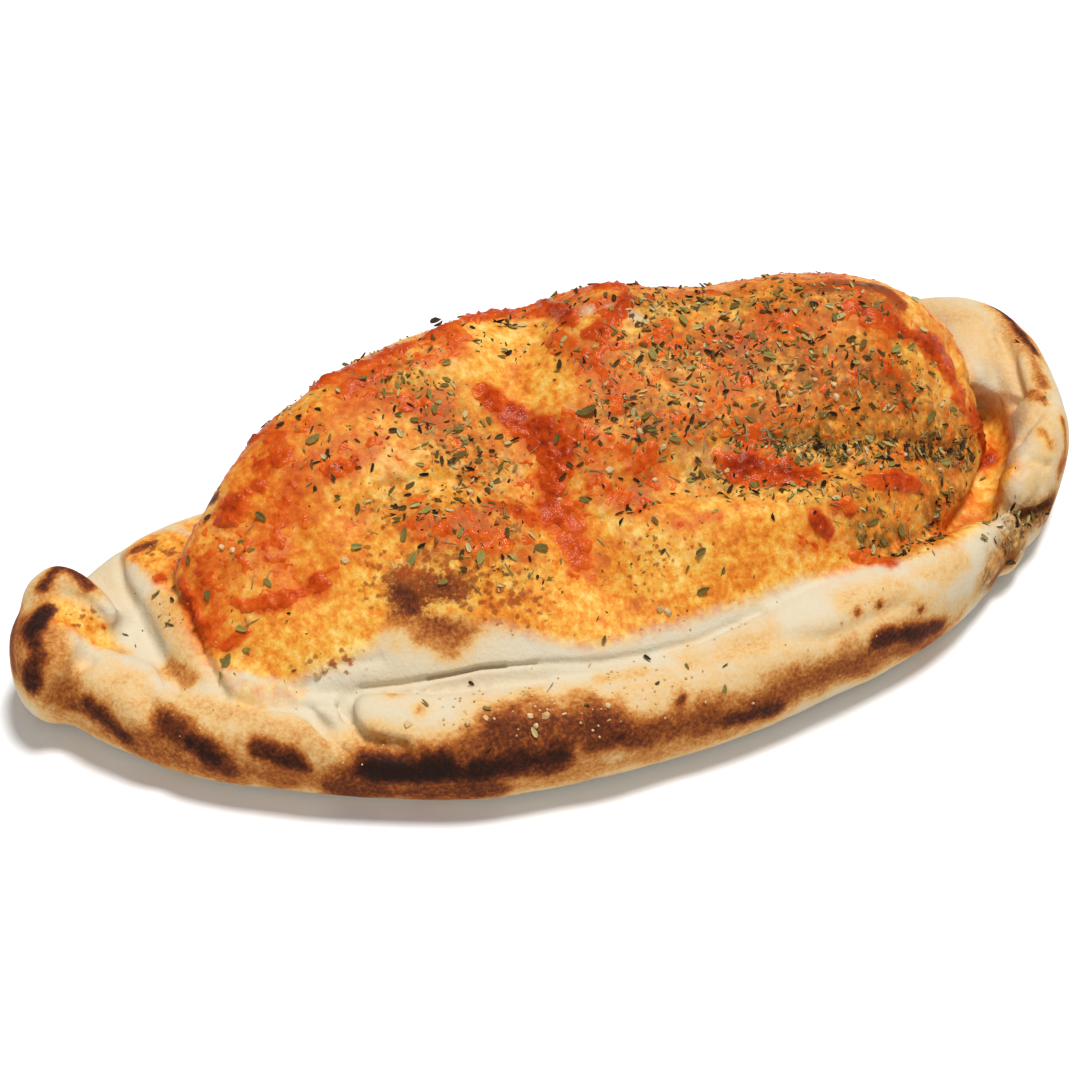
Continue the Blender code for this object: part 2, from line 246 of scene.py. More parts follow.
def roll(line):
    """A roll of dough along a line of centres with half widths and half heights."""

    def surface(s, t):
        x, y, z, width, height = spline(line, s).T
        ahead = spline(line, np.clip(s + ROLL_STEP, 0, 1)) - spline(line, np.clip(s - ROLL_STEP, 0, 1))
        run = ahead[:, :2] / np.linalg.norm(ahead[:, :2], axis=1)[:, None]
        end = (1 - np.abs(2 * s - 1) ** ROLL_END_POWER).clip(0) ** 0.5
        out = width * end * signed_power(np.cos(t), ROLL_SQUARE)
        up = height * end * signed_power(np.sin(t), ROLL_SQUARE)
        return x + out * run[:, 1], y - out * run[:, 0], z + up

    return surface


def lump(name, centre, radii, turn_deg=0, tilt_deg=0, square=1):
    """An egg of dough at a place, with its half sizes, turned in plan and tilted along its length."""

    def egg(s, t):
        ring = signed_power(np.sin(s * math.pi), square)
        x = radii[0] * ring * signed_power(np.cos(t), square)
        y = radii[1] * ring * signed_power(np.sin(t), square)
        return x, y, -radii[2] * signed_power(np.cos(s * math.pi), square)

    made = lofted(name, LUMP_RINGS, LUMP_SEGMENTS, egg)
    turn = Matrix.Rotation(math.radians(turn_deg), 4, "Z")
    tilt = Matrix.Rotation(math.radians(tilt_deg), 4, "Y")
    made.data.transform(Matrix.Translation(Vector(centre) * MM) @ turn @ tilt)
    return made


def joined(name, pieces):
    bm = bmesh.new()
    for piece in pieces:
        bm.from_mesh(piece.data)
        bpy.data.objects.remove(piece)
    return linked(name, as_mesh(bm, name))


def modified(piece, kind, **settings):
    """Works one modifier into the piece's mesh."""
    modifier = piece.modifiers.new(kind, kind)
    for key, value in settings.items():
        setattr(modifier, key, value)
    graph = bpy.context.evaluated_depsgraph_get()
    mesh = bpy.data.meshes.new_from_object(piece.evaluated_get(graph))
    piece.modifiers.clear()
    piece.data = mesh


def skinned(piece):
    modified(piece, "REMESH", mode="VOXEL", voxel_size=VOXEL * MM)


shell = joined("shell", [
    lofted("base", 60, 48, base_surface),
    lofted("rim", 160, 28, roll(RIM)),
    lofted("wall", 90, 28, roll(WALL)),
    lump("ear_knob", (-134, 16, 16), (12, 17, 16), turn_deg=-8, square=0.9),
    lump("ear_top", (-128.5, 27, 22), (11, 13, 12), turn_deg=-8),
    lump("ear_lip", (-123, 24, 29), (13.5, 5, 6), turn_deg=-60, tilt_deg=6),
    lump("shoulder", (-85, 11, 13.5), (25, 41, 17), turn_deg=10, square=0.6),
    lump("corner_back", (150, 25, 29), (7, 15, 10), turn_deg=-28),
    lump("hood", (143, 24, 30), (8, 15, 7.5), turn_deg=-14),
    lump("corner_front", (156, 13, 28), (5.5, 13, 10), turn_deg=-29),
    lump("wall_end", (133.5, -27, 24), (8, 6, 9.5), turn_deg=45),
    lump("step", (129, -31.5, 11), (8, 5.5, 9), turn_deg=45),
    lump("foot", (127.5, -33.5, 12.5), (9, 5.8, 11.5), turn_deg=35),
])
skinned(shell)
modified(shell, "DISPLACE", strength=FILLET * MM, mid_level=0)
skinned(shell)
modified(shell, "DISPLACE", strength=-FILLET * MM, mid_level=0)
dough = joined("calzone_dough", [shell, lofted("dome", 160, 120, dome_surface)])
skinned(dough)
modified(dough, "SMOOTH", factor=SMOOTH_SHARE, iterations=SMOOTH_ROUNDS)


def pressed(piece, creases):
    """Draws the skin in along fold lines, each a line with its half width and its depth in millimetres."""
    points, normals = coordinates(piece.data), coordinates(piece.data, "normal")
    for line, width, depth in creases:
        near = distance_to_line(points, np.array(line) * MM) / (width * MM)
        points = points - normals * (depth * MM * np.exp(-(near**2)))[:, None]
    piece.data.vertices.foreach_set("co", points.ravel())
    piece.data.update()


pressed(dough, CREASES)
dough.data.transform(Matrix.Translation(Vector((-CENTRE[0], -CENTRE[1], 0)) * MM))


def skin_of(piece):
    return BVHTree.FromObject(piece, bpy.context.evaluated_depsgraph_get())


# How often, and by what share each time, the aim is pulled inward where a pixel misses the skin.
SIGHT_TRIES, SIGHT_PULL = 40, 0.008
# How far each seed moves the noise; the noise that frays a stroke's edges, as height, size in millimetres
# and seed; and how much wider than the stroke its halo is.
SEED_SHIFT = (17.3, 5.1, 11.7)
FRAY_WAVES, HALO_REACH = ((1, 9, 3), (0.5, 3.5, 4)), 5


def spot_seen(skin, px, py):
    """The place on the skin, with its normal, that is seen at a pixel, or inward of it at the outline."""
    middle = FRAME_PIXELS / 2
    for step in range(SIGHT_TRIES):
        pull = step * SIGHT_PULL
        aim = sight_line(px + (middle - px) * pull, py + (middle - py) * pull)
        place, normal, _, _ = skin.ray_cast(camera.location, aim)
        if place is not None:
            return place, normal
    raise ValueError("nothing is seen at %s, %s" % (px, py))


def line_seen(skin, pixels):
    return [spot_seen(skin, px, py)[0] for px, py in pixels]


def ripple(points, size, seed):
    """Smooth noise between about -1 and 1 at each point, with bumps of a size in millimetres."""
    shift = Vector([seed * step for step in SEED_SHIFT])
    return np.array([noise.noise(Vector(p) + shift) for p in points / (size * MM)])


def ripples(points, waves):
    """Noise of several sizes added up, each given as its height, size in millimetres and seed."""
    return sum(height * ripple(points, size, seed) for height, size, seed in waves)


def rising(values, start, over):
    """0 up to the start and 1 beyond the range over which it rises."""
    return np.clip((values - start) / over, 0, 1)


def falling(values, start, over):
    """0 from the start upward and 1 below the range over which it falls."""
    return np.clip((start - values) / over, 0, 1)


def painted(skin, points, strokes, ragged=0.3, halo=0.0):
    """How strongly brush strokes reach each point: (pixels along the stroke, radius in mm, strength)."""
    warp = ripples(points, FRAY_WAVES) * ragged
    paint = np.zeros(len(points))
    for pixels, radius, strength in strokes:
        near = distance_to_line(points, line_seen(skin, pixels)) / (radius * MM) + warp
        near = np.clip(near, 0, None)
        wide = near * radius / (radius + HALO_REACH)
        reach = np.maximum(np.exp(-(near**2)), halo * np.exp(-(wide**2)))
        paint = np.maximum(paint, strength * reach)
    return paint


skin = skin_of(dough)
points = coordinates(dough.data)

# Brush strokes in pixels of the frame, with a radius in millimetres and a strength. First, where the oven
# browned the dough, from gold to burnt: the ear, the rim, the pocket's wall, then the top flap.
TOAST = [
    ([(43, 587), (60, 568), (75, 572), (88, 584)], 3.2, 0.72), ([(44, 611), (34, 628)], 4, 0.95),
    ([(32, 630), (38, 655), (31, 682)], 5, 0.84), ([(16, 620), (14, 665)], 5, 0.6),
    ([(24, 622), (23, 672)], 8, 0.5), ([(48, 640), (54, 692)], 8, 0.46),
    ([(66, 705), (90, 712)], 5, 0.62), ([(88, 706), (106, 720), (123, 736)], 4.8, 0.78),
    ([(165, 722), (190, 740), (228, 768)], 6.5, 0.7), ([(192, 742), (214, 759)], 4.5, 0.9),
    ([(258, 751), (285, 760), (306, 768)], 4.2, 0.77),
    ([(70, 700), (130, 740), (220, 768), (310, 778)], 11, 0.5),
    ([(180, 700), (250, 718), (300, 735)], 7, 0.3),
    ([(80, 698), (150, 735), (220, 755), (320, 772)], 14, 0.36),
    ([(368, 766), (400, 771), (448, 768)], 6.5, 1.05),
    ([(478, 768), (520, 765), (560, 752)], 6.5, 0.92), ([(590, 745), (622, 738)], 5, 0.72),
    ([(505, 735), (550, 722), (600, 728)], 11, 0.68),
    ([(350, 776), (440, 772), (500, 748), (560, 738), (650, 735)], 9, 0.62),
    ([(640, 735), (700, 722), (770, 705)], 8.5, 0.6), ([(727, 720), (775, 709)], 4.5, 0.8),
    ([(780, 692), (860, 662), (940, 632)], 10, 0.54), ([(878, 642), (905, 636), (940, 626)], 5, 0.78),
    ([(560, 702), (650, 696), (750, 680), (850, 630), (930, 596)], 10, 0.24),
    ([(330, 786), (400, 792), (490, 788)], 8, 0.68),
    ([(930, 305), (985, 330), (1030, 390), (1050, 450), (1030, 500)], 12, 0.24),
    ([(160, 600), (190, 660)], 6, 0.28), ([(60, 655), (80, 690)], 8, 0.2),
    ([(60, 715), (150, 758), (300, 785), (450, 790), (600, 765), (760, 718)], 8, 0.4),
    ([(683, 697), (679, 704)], 1.6, 0.74), ([(608, 712)], 1.8, 0.7), ([(590, 715)], 1.5, 0.6),
    ([(880, 605)], 1.8, 0.7), ([(858, 613)], 1.8, 0.62), ([(921, 610)], 1.6, 0.75),
    ([(690, 722)], 2, 0.6), ([(850, 600), (900, 590)], 8, 0.27), ([(925, 573), (960, 565)], 7, 0.27),
    ([(760, 640), (700, 662)], 9, 0.26), ([(395, 700)], 4, 0.36), ([(420, 712)], 3.5, 0.36),
    ([(600, 680), (640, 672)], 4, 0.3), ([(120, 650)], 4, 0.3), ([(173, 668), (190, 680)], 5, 0.4),
    ([(1000, 310), (1019, 329), (1034, 352)], 3, 0.84),
    ([(975, 318), (1000, 340), (1030, 390)], 7, 0.24), ([(1031, 356), (1044, 385)], 3, 0.5),
    ([(1030, 395), (1045, 400)], 3, 0.45), ([(1042, 432), (1051, 448)], 2.4, 0.5),
    ([(1020, 470), (1050, 500)], 7, 0.2), ([(1025, 517), (1043, 511), (1053, 500)], 3, 0.8),
    ([(1062, 420), (1066, 470)], 2.5, 0.5), ([(1000, 560)], 6, 0.4),
    ([(1006, 545), (1012, 562), (1000, 584)], 4, 0.5),
    ([(1034, 522), (1010, 548), (984, 582)], 7, 0.34),
    ([(823, 286), (860, 283), (884, 288), (902, 302)], 4, 0.86), ([(800, 288), (900, 310)], 6, 0.5),
    ([(402, 588), (412, 606)], 6, 0.74), ([(402, 578), (425, 590), (452, 588)], 10, 0.64),
    ([(408, 610), (455, 628)], 9, 0.56), ([(405, 556), (445, 556)], 6, 0.48),
    ([(135, 548), (150, 543)], 3, 0.72), ([(172, 552)], 2.6, 0.66), ([(204, 500), (214, 497)], 3, 0.75),
]
# Oil soaked into the top flap: the stain's lower edge as it is seen, and where it runs on behind, in plan.
OIL_EDGE = [
    (205, 505), (150, 530), (127, 545), (124, 562), (150, 577), (170, 600), (186, 640), (214, 672),
    (290, 686), (340, 664), (372, 645), (392, 620), (450, 618), (500, 628), (540, 640), (600, 648),
    (660, 628), (720, 612), (762, 598), (805, 578), (860, 568), (925, 555), (958, 545),
]
OIL_BEHIND = [
    (124, -26), (130, -8), (129, 8), (128, 20), (128, 42), (122, 60), (60, 88), (-30, 90), (-112, 62),
]
OIL_BLUR = 5
OIL = [
    ([(56, 612), (76, 618), (97, 634)], 6, 0.95), ([(1040, 394)], 3, 0.5),
    ([(1032, 522), (1010, 544), (992, 566)], 4.5, 0.55),
    ([(974, 402), (985, 425), (996, 450), (996, 484)], 10, 0.85),
    ([(1058, 420), (1064, 470)], 2.5, 0.5), ([(1040, 436), (1050, 450)], 3, 0.5),
    ([(215, 672), (245, 692), (300, 692)], 6, 0.5), ([(190, 690), (300, 715)], 4, 0.2),
    ([(940, 330), (960, 370)], 3, 0.5),
]
# Tomato sauce, thin where the strength is low and thick enough to stand up where it is high.
SAUCE = [
    ([(317, 383), (367, 362), (413, 342), (467, 320), (517, 307), (540, 302)], 3.6, 0.95),
    ([(540, 294), (560, 310), (573, 320)], 4.4, 1.05), ([(590, 287), (617, 286)], 3.4, 1),
    ([(630, 300), (607, 323), (590, 333)], 4.4, 0.95), ([(650, 298)], 3, 0.9),
    ([(690, 345), (670, 330), (640, 345)], 6, 0.7),
    ([(483, 393), (510, 410), (527, 433), (533, 450)], 5, 0.9),
    ([(538, 430), (553, 457), (547, 483), (560, 517), (577, 543), (583, 560)], 7, 0.98),
    ([(560, 337), (590, 357), (607, 380), (620, 403)], 5.5, 0.74),
    ([(573, 427), (607, 437), (640, 450), (653, 483)], 7, 0.72),
    ([(740, 467), (773, 470), (807, 477)], 6.5, 1.2), ([(757, 437), (735, 445)], 5, 0.8),
    ([(735, 450), (790, 445)], 7, 0.6), ([(873, 480), (913, 483)], 4.8, 1.15),
    ([(816, 519), (829, 533)], 2.8, 0.95), ([(837, 503), (850, 510)], 3.4, 0.85),
    ([(857, 310), (900, 327), (930, 347), (950, 373), (962, 397)], 5.6, 0.9),
    ([(972, 410), (978, 430), (984, 458)], 5, 1.1), ([(253, 487), (240, 500), (228, 520)], 4.6, 0.95),
    ([(181, 587), (193, 613), (207, 630)], 4.2, 0.92), ([(161, 577)], 2.6, 0.8),
    ([(240, 603), (283, 600), (317, 583)], 4.4, 0.85), ([(227, 647), (243, 632)], 3, 0.9),
    ([(213, 560), (200, 590), (225, 620)], 6, 0.66), ([(327, 470), (353, 463)], 3.8, 0.9),
    ([(300, 470), (380, 440)], 9, 0.62), ([(260, 560), (290, 500), (250, 540)], 9, 0.6),
    ([(300, 420), (370, 400), (450, 400)], 10, 0.58), ([(560, 300), (620, 350), (600, 300)], 8, 0.6),
    ([(247, 433), (252, 440)], 2.8, 1), ([(262, 425), (285, 455), (250, 470)], 6, 0.66),
    ([(493, 503), (533, 517)], 3.8, 0.72), ([(333, 570), (327, 555)], 5, 0.55),
    ([(720, 517), (673, 523)], 4.4, 0.66), ([(690, 550)], 3.4, 0.5), ([(104, 627)], 1.3, 1),
    ([(860, 558), (890, 562)], 4, 0.7), ([(800, 545), (850, 540)], 6, 0.5),
    ([(700, 350), (770, 340), (820, 360)], 9, 0.5), ([(880, 350), (900, 400)], 8, 0.56),
    ([(600, 490), (650, 500)], 9, 0.62), ([(300, 520), (350, 530)], 10, 0.42),
    ([(1053, 441), (1062, 462), (1060, 480)], 3.5, 0.42), ([(620, 360), (650, 400)], 8, 0.56),
    ([(930, 420), (920, 445)], 5, 0.5), ([(415, 520), (470, 535), (510, 550)], 9, 0.68),
    ([(600, 390), (700, 420)], 11, 0.58), ([(650, 440), (720, 420), (800, 410)], 9, 0.5),
]
# The thin film of sauce all over the top, where it is yellower, and where the dough is bare.
FILM = 0.43
YELLOW = [
    ([(400, 345), (450, 375)], 9, 0.4), ([(490, 340), (540, 380)], 9, 0.4),
    ([(365, 510), (360, 560), (380, 610)], 8, 0.5), ([(455, 530), (500, 575), (520, 612)], 9, 0.5),
    ([(560, 612), (650, 602), (700, 585)], 9, 0.4), ([(740, 540), (800, 515), (840, 545)], 9, 0.42),
    ([(290, 640), (345, 640)], 7, 0.5), ([(700, 300), (730, 310)], 6, 0.4),
    ([(145, 555), (160, 540)], 6, 0.4),
]
BARE = [
    ([(580, 312), (612, 305), (640, 318)], 3.6, 0.8), ([(350, 385), (375, 372)], 2.5, 0.6),
    ([(590, 430), (600, 437)], 2.5, 0.7), ([(715, 456), (750, 450)], 4, 0.55),
    ([(688, 450), (722, 460)], 6, 0.4), ([(800, 520), (840, 515)], 3.5, 0.4),
    ([(610, 522), (640, 545)], 4, 0.35), ([(440, 350), (470, 340)], 5, 0.25),
    ([(300, 600), (330, 610)], 4, 0.3), ([(640, 470), (620, 455)], 3, 0.4),
]
# Rubbed herbs, with the brown that they leave in the oil. Above 1 they only lie thicker.
HERBS = [
    ([(640, 305), (720, 300), (800, 298), (880, 312)], 7, 0.85),
    ([(660, 350), (740, 350), (810, 370), (900, 395)], 13, 1.0),
    ([(620, 410), (720, 430), (800, 430), (950, 440)], 10, 1.0),
    ([(745, 440), (850, 447), (965, 452)], 4.5, 3.6), ([(700, 475), (850, 490), (940, 480)], 7, 0.85),
    ([(862, 520), (880, 545), (922, 540)], 6, 1.1), ([(560, 440), (600, 470), (640, 500)], 8, 0.5),
    ([(700, 540), (640, 560)], 12, 0.16), ([(400, 380), (440, 410), (480, 460)], 11, 0.75),
    ([(300, 400), (350, 440), (330, 480)], 10, 0.28), ([(390, 500), (470, 510), (520, 555)], 9, 0.5),
    ([(230, 530), (240, 600), (240, 640)], 9, 0.12), ([(1024, 522), (1012, 546), (994, 572)], 5.5, 3),
    ([(1032, 519), (1050, 506)], 4, 3.4), ([(945, 490), (960, 503)], 4, 1.1),
    ([(480, 730), (600, 700), (700, 680)], 12, 0.03), ([(560, 330), (600, 380)], 10, 0.28),
    ([(600, 350), (640, 390), (660, 430)], 10, 0.5), ([(430, 520), (500, 548)], 8, 0.5),
    ([(150, 600), (300, 640)], 12, 0.06), ([(940, 480), (930, 520)], 5, 1.2),
    ([(940, 450), (965, 440)], 4.5, 1.6), ([(560, 305), (600, 300)], 6, 0.3),
]
# Small baked blisters of cheese and oil.
BLISTERS = [
    ([(400, 520), (450, 512), (500, 540)], 8, 1), ([(430, 555), (480, 580), (520, 600)], 8, 1),
    ([(373, 547), (373, 590)], 4, 0.8), ([(327, 660), (347, 660)], 4, 0.9),
    ([(140, 547), (175, 552)], 4, 0.9), ([(75, 622), (88, 612)], 3.5, 0.7),
    ([(400, 340), (450, 330)], 9, 0.4), ([(640, 560), (700, 545)], 10, 0.35), ([(1040, 394)], 3, 0.8),
    ([(700, 360), (800, 380)], 14, 0.4), ([(440, 440), (500, 470)], 10, 0.5),
]
# Where the back fold begins in plan and in height, and the pocket, which is less oily low down.
FOLD_Y, FOLD_Z, FOLD_OVER = 40, 38, 12
POCKET_X, POCKET_Z, POCKET_DRY = 115, 28, 0.45
# Noise in the film and on the unseen sides: height, size in millimetres and seed.
FILM_WAVES = ((0.2, 24, 7), (0.1, 9, 10))
SPILL_WAVES = ((0.7, 24, 9), (0.3, 8, 19))
PATCH_WAVES = ((0.8, 26, 17), (0.3, 9, 18))
FLANK_WAVES, WASH_WAVES = ((0.35, 30, 8),), ((0.12, 34, 15),)
FLANK_TOAST, SPILL_SAUCE, PATCH_TOAST, WASH_TOAST = 0.5, 0.5, 0.34, 0.08


def flooded(skin, points, edge, behind, blur):
    """1 inside the outline of a stain and 0 outside it, blurred over some millimetres along its edge."""
    ring = line_seen(skin, edge)
    plan = np.array([place[:2] for place in ring] + [(x * MM, y * MM) for x, y in behind])
    inside = np.zeros(len(points), bool)
    for (ax, ay), (bx, by) in zip(plan, np.roll(plan, -1, axis=0)):
        crossed = (ay > points[:, 1]) != (by > points[:, 1])
        inside ^= crossed & (points[:, 0] < (bx - ax) * (points[:, 1] - ay) / (by - ay + 1e-12) + ax)
    unseen = [(*place, 0) for place in np.vstack([plan[len(ring) - 1:], plan[:1]])]
    in_plan = distance_to_line(points * (1, 1, 0), unseen)
    distance = np.minimum(distance_to_line(points, ring), in_plan) / (blur * MM)
    return np.clip(0.5 + 0.5 * np.where(inside, distance, -distance), 0, 1)


x, y, z = points.T / MM
behind = rising(y, FOLD_Y, FOLD_OVER)
above_fold = 1 - behind * falling(z, FOLD_Z, FOLD_OVER)
soaked_top = flooded(skin, points, OIL_EDGE, OIL_BEHIND, OIL_BLUR) * above_fold
soaked_top *= 1 - POCKET_DRY * rising(x, POCKET_X, 5) * falling(z, POCKET_Z, 6)
toast = painted(skin, points, TOAST, 0.4, 0.5)
oil = np.maximum(painted(skin, points, OIL, 0.2), soaked_top)
bare = painted(skin, points, BARE)
oil = oil - 0.8 * bare
film = FILM - bare + ripples(points, FILM_WAVES) - painted(skin, points, YELLOW)
sauce = np.maximum(painted(skin, points, SAUCE, 0.6), film * np.clip(soaked_top * 2 - 1, 0, 1))
herbed = np.clip(painted(skin, points, HERBS), 0, 1)
blisters = painted(skin, points, BLISTERS)

# The fold at the back, which the photograph hides, is browned and sauced like the top. The outer sides of
# the back and of the wall are browned in patches, and the bare dough has a pale wash of brown.
flank = falling(np.abs(z - 34), 22, 22) * behind * falling(x, 118, 20)
toast = np.maximum(toast, flank * (FLANK_TOAST + ripples(points, FLANK_WAVES)))
spill = rising(y, 28, 12) * rising(z, 46, 12)
sauce = np.maximum(sauce, spill * (SPILL_SAUCE + ripples(points, SPILL_WAVES)))
normals = coordinates(dough.data, "normal")
unseen = np.maximum(rising(y, 5, 15), rising(x, 132, 8) * rising(normals[:, 0], 0, 1 / 3))
outer_side = falling(normals[:, 2], 0.55, 0.3) * unseen * falling(z, 30, 10)
toast = np.maximum(toast, outer_side * (PATCH_TOAST + ripples(points, PATCH_WAVES)))
toast = np.maximum(toast, (WASH_TOAST + ripples(points, WASH_WAVES)) * (1 - soaked_top))

# The surface, in millimetres: slow swelling everywhere, more of it on bare dough, a finer crumple on the
# soaked top, blisters, and sauce that stands up. It fades out toward the table.
SWELL_WAVES, BARE_WAVES = ((0.4, 15, 1), (0.14, 5, 2)), ((0.6, 24, 16),)
CRUMPLE_WAVES = ((0.35, 8, 5), (0.22, 3.2, 6))
BLISTER_SIZE, BLISTER_HEIGHT, BLISTER_POWER = 3.6, 0.8, 1.5
SAUCE_HEIGHT, SOAKED_SINK, STILL_BELOW = 0.5, 0.35, 3
cells = np.array([noise.voronoi(Vector(p))[0][0] for p in points / (BLISTER_SIZE * MM)])
height = ripples(points, SWELL_WAVES) + (1 - soaked_top) * ripples(points, BARE_WAVES)
height += oil * ripples(points, CRUMPLE_WAVES)
height += blisters * BLISTER_HEIGHT * falling(cells, 0.5, 0.5) ** BLISTER_POWER
height += SAUCE_HEIGHT * np.clip(sauce - 0.3, 0, 0.7)
height = (height - SOAKED_SINK * soaked_top) * rising(z, 0, STILL_BELOW)
dough.data.vertices.foreach_set("co", (points + normals * (height * MM)[:, None]).ravel())
dough.data.update()

# Narrow folds and swellings: pixels along the line, half width and depth in millimetres; and how far round
# them the skin is made finer.
FOLD_REACH = 3
WRINKLES = [
    ([(168, 580), (185, 604), (200, 648), (222, 692)], 1.7, 2),
    ([(118, 556), (124, 590), (150, 640), (168, 690)], 1.2, 0.6),
    ([(222, 696), (262, 708), (302, 704), (332, 705)], 1.8, 1.2),
    ([(338, 702), (362, 688), (402, 684), (425, 680)], 0.9, 1),
    ([(418, 681), (455, 674), (480, 668), (505, 666)], 0.6, 3.2), ([(490, 667), (535, 664)], 0.7, 1.2),
    ([(535, 664), (600, 662), (645, 654), (700, 640), (760, 612)], 1.2, 0.8),
    ([(342, 700), (349, 718), (366, 737), (402, 744)], 1.6, 3),
    ([(308, 708), (326, 734), (348, 752)], 1.8, 1.8), ([(374, 704), (405, 704)], 6, -1.7),
    ([(300, 735), (260, 728)], 6, -0.6), ([(1030, 370), (1040, 340)], 6, -0.8),
    ([(1040, 440), (1045, 460)], 6, -0.6), ([(1000, 330), (1012, 360), (1020, 395), (1012, 404)], 2, 2),
    ([(1052, 398), (1036, 418), (1020, 440)], 1.7, 1.6), ([(952, 345), (962, 378), (976, 392)], 2, 1.4),
    ([(380, 487), (420, 480), (452, 479), (530, 500)], 1.6, 0.9),
    ([(250, 520), (232, 545), (214, 575), (196, 590)], 1.8, 1),
    ([(300, 545), (290, 570), (300, 590)], 2.2, 1),
    ([(600, 520), (660, 500), (720, 490), (780, 500)], 1.6, 1),
    ([(720, 440), (800, 442), (900, 440), (955, 450)], 1.8, 1),
    ([(300, 690), (340, 665), (380, 660)], 1.6, 0.6),
    ([(1048, 466), (1032, 461), (1018, 470)], 1.6, 1.4), ([(60, 592), (85, 600), (100, 614)], 2, 1),
    ([(45, 600), (60, 596)], 1.6, 0.6), ([(1003, 508), (1025, 514), (1048, 506)], 1.7, 2.4),
]


def cut_flat(piece):
    """Cuts the underside off flat on the table, with few faces there."""
    bm = bmesh.new()
    bm.from_mesh(piece.data)
    everything = bm.verts[:] + bm.edges[:] + bm.faces[:]
    bmesh.ops.bisect_plane(
        bm, geom=everything, dist=1e-6, plane_co=(0, 0, 0), plane_no=(0, 0, 1), clear_inner=True
    )
    bmesh.ops.edgeloop_fill(bm, edges=[e for e in bm.edges if e.is_boundary])
    bmesh.ops.triangulate(bm, faces=[f for f in bm.faces if len(f.verts) > 4])
    bm.to_mesh(piece.data)
    bm.free()


def refined(piece, lines, reach):
    """Splits the faces near some lines twice as fine, so that a narrow fold can be pressed there."""
    bm = bmesh.new()
    bm.from_mesh(piece.data)
    middles = np.array([(edge.verts[0].co + edge.verts[1].co) / 2 for edge in bm.edges]) / MM
    near = np.min([distance_to_line(middles, line) for line in lines], axis=0) < reach
    close = [edge for edge, inside in zip(bm.edges, near) if inside]
    bmesh.ops.subdivide_edges(bm, edges=close, cuts=1, use_grid_fill=True)
    bmesh.ops.triangulate(bm, faces=[face for face in bm.faces if len(face.verts) > 4])
    bm.to_mesh(piece.data)
    bm.free()


def paint_layer(piece, name, values):
    layer = piece.data.attributes.new(name, "FLOAT", "POINT")
    layer.data.foreach_set("value", values.astype(np.float32))


skin = skin_of(dough)
folds = [([spot / MM for spot in line_seen(skin, line)], width, depth) for line, width, depth in WRINKLES]
layers = {"toast": toast, "oil": oil, "sauce": sauce, "herbed": herbed, "blisters": blisters}
for name, values in layers.items():
    paint_layer(dough, name, values)
refined(dough, [line for line, _, _ in folds], FOLD_REACH)
pressed(dough, folds)
cut_flat(dough)
dough.data.shade_smooth()


def new_material(name, roughness=0.5, gloss=0.5):
    material = bpy.data.materials.new(name)
    material.use_nodes = True
    shader = material.node_tree.nodes["Principled BSDF"]
    shader.inputs["Roughness"].default_value = roughness
    shader.inputs["Specular IOR Level"].default_value = gloss
    return material, material.node_tree, shader


def wired(tree, kind, inputs=(), **settings):
    """Adds a node, sets its properties, and links or sets its numbered inputs."""
    made = tree.nodes.new(kind)
    for key, value in settings.items():
        setattr(made, key, value)
    for slot, value in dict(inputs).items():
        if isinstance(value, bpy.types.NodeSocket):
            tree.links.new(value, made.inputs[slot])
        else:
            made.inputs[slot].default_value = value
    return made


def grain(tree, size, detail=3, stretch=(1, 1, 1), rough=0.55):
    """Noise from 0 to 1 on the piece's own coordinates, with features of a size in millimetres."""
    place = wired(tree, "ShaderNodeTexCoord").outputs["Object"]
    mapped = wired(tree, "ShaderNodeMapping", {0: place, 3: stretch}).outputs[0]
    inputs = {"Vector": mapped, "Scale": 1 / (size * MM), "Detail": detail, "Roughness": rough}
    return wired(tree, "ShaderNodeTexNoise", inputs).outputs["Fac"]


def paint(tree, name):
    return wired(tree, "ShaderNodeAttribute", attribute_name=name).outputs["Fac"]


def sums(tree, operation, a, b):
    return wired(tree, "ShaderNodeMath", {0: a, 1: b}, operation=operation).outputs[0]


def added(tree, a, b):
    return sums(tree, "ADD", a, b)


def scaled(tree, value, by):
    return sums(tree, "MULTIPLY", value, by)


def swing(tree, value, by):
    """Noise from 0 to 1 turned into noise around zero, of a height."""
    return scaled(tree, sums(tree, "SUBTRACT", value, 0.5), by)


def eased(tree, value, low, high):
    """0 below low, 1 above high, with a soft step between."""
    inputs = {"Value": value, "From Min": low, "From Max": high}
    return wired(tree, "ShaderNodeMapRange", inputs, interpolation_type="SMOOTHSTEP").outputs["Result"]


def mixed(tree, share, a, b):
    """One colour over another; 6 and 7 are the mix node's colour inputs, 2 is its colour output."""
    return wired(tree, "ShaderNodeMix", {0: share, 6: a, 7: b}, data_type="RGBA").outputs[2]


def roughened(tree, shader, relief, height, strength):
    """Lets a fine relief, of a height in millimetres, catch the light."""
    inputs = {"Height": relief, "Distance": height * MM, "Strength": strength}
    tree.links.new(wired(tree, "ShaderNodeBump", inputs).outputs["Normal"], shader.inputs["Normal"])


def ramp(tree, value, stops):
    made = wired(tree, "ShaderNodeValToRGB", {0: value})
    elements = made.color_ramp.elements
    while len(elements) < len(stops):
        elements.new(0.5)
    for element, (place, colour) in zip(elements, stops):
        element.position, element.color = place, (*colour, 1)
    return made.outputs[0]


